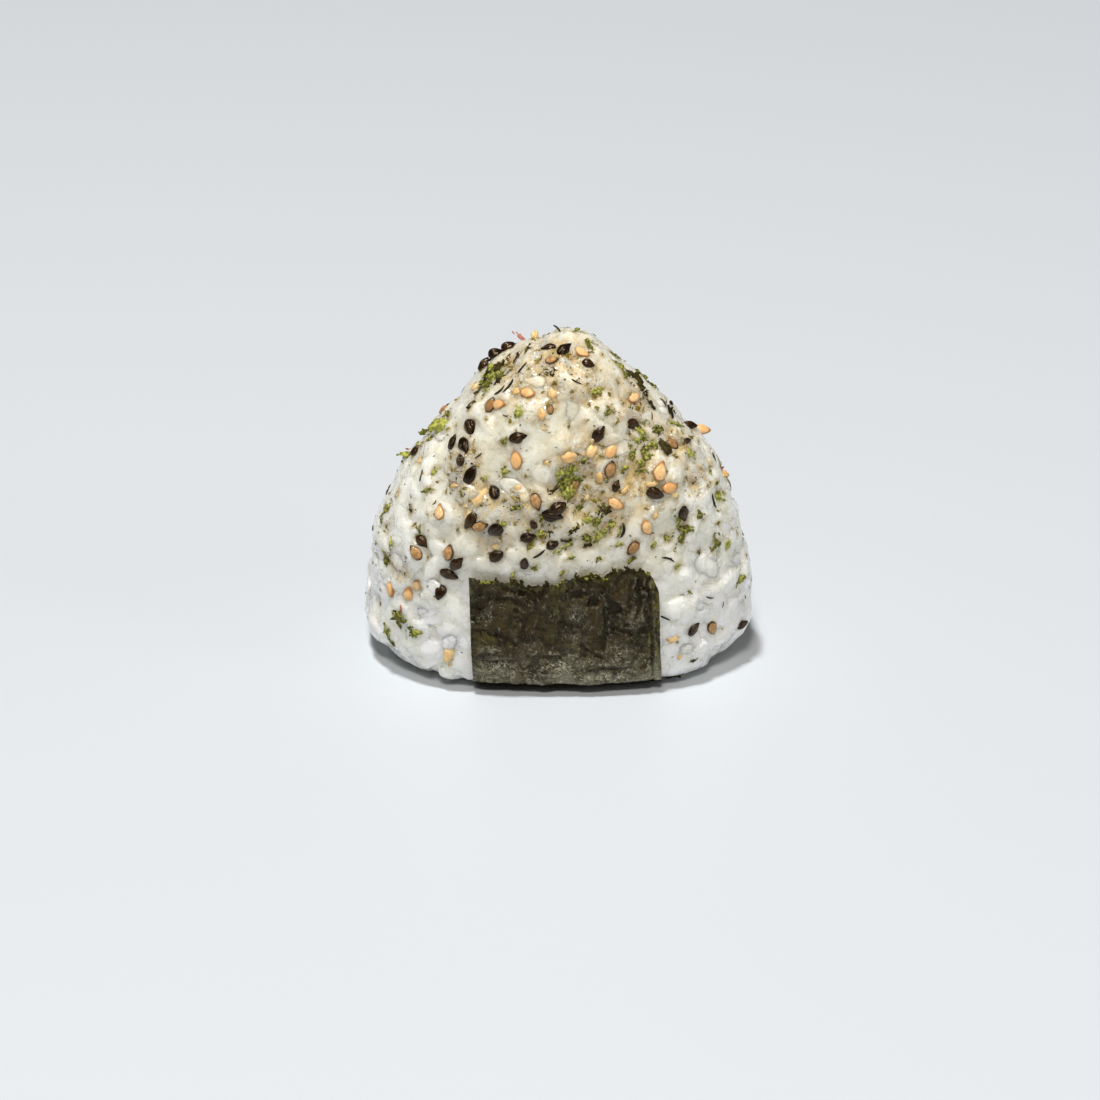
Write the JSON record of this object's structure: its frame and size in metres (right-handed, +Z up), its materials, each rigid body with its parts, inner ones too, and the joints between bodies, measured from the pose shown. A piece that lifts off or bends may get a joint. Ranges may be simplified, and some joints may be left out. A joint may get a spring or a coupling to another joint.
{
  "type": "onigiri rice ball",
  "caption": "Hand-pressed triangular rice ball sprinkled with sesame and seaweed flakes, with a short nori strip folded under its foot to hold it by.",
  "frame": {"origin": "middle of the bottom of the bounding box, on the flat underside of the nori strip, where the ball rests", "axes": "+Z up from the foot to the tip, -Y out of the front face, where the nori strip's rounded corner is, +X to the right seen from the front"},
  "size_m": [0.0756, 0.0426, 0.0683],
  "materials": {
    "rice": "moist, translucent steamed short-grain rice, off-white with a cream cast in the middle",
    "nori": "toasted laver sheet, green-black with olive specks and a soft sheen",
    "black_sesame": "roasted black sesame, faintly pitted, satin",
    "tan_sesame": "roasted hulled sesame and rice-cracker crumbs, golden tan, satin",
    "green_flakes": "dried green seaweed and herb flakes, olive green, matte",
    "seasoning": "fine granules of salt and sugar, pale and glistening"
  },
  "bodies": {
    "root": {"rice_ball": "rice", "nori_strip": "nori"}
  },
  "joints": []
}
